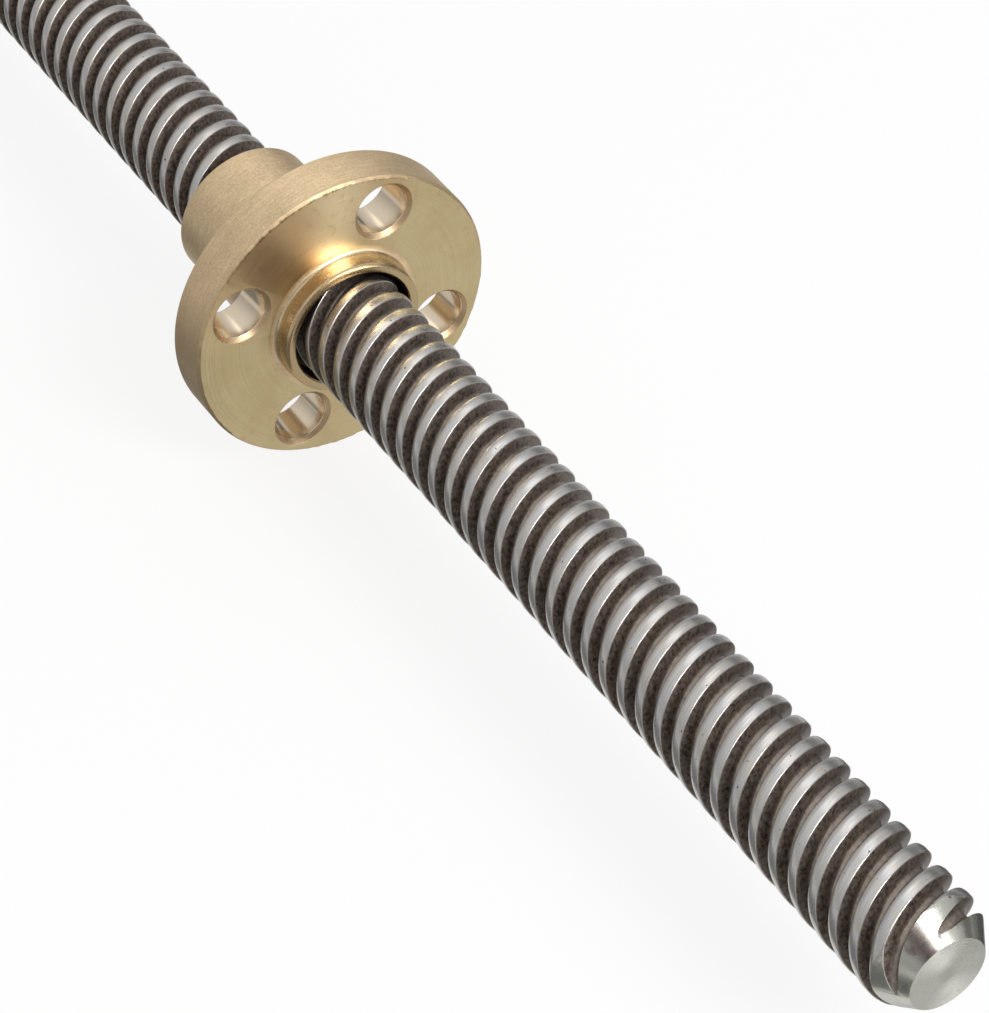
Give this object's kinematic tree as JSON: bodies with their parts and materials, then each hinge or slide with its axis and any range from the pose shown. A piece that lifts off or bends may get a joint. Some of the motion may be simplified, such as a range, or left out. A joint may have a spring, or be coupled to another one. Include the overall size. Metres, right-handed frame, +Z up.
{
  "type": "trapezoidal lead screw",
  "caption": "Right-hand trapezoidal lead screw in steel with a flanged brass nut on it, for turning rotation into straight travel.",
  "frame": {"origin": "on the screw's axis at its mid-length", "axes": "+X along the screw towards the end that is near in the picture, +Z up as it lies"},
  "size_m": [0.15, 0.0218, 0.0218],
  "materials": {
    "rolled_steel": "satin rolled crests with dark, oily grooves",
    "turned_brass": "as turned, with fine concentric tool marks"
  },
  "bodies": {
    "screw": {"lead_screw": "rolled_steel"},
    "nut": {"flange_nut": "turned_brass"}
  },
  "joints": [
    {"name": "nut_travel", "type": "slide", "parent": "screw", "child": "nut", "axis": [1, 0, 0], "range_m": [-0.068, 0.066]}
  ]
}
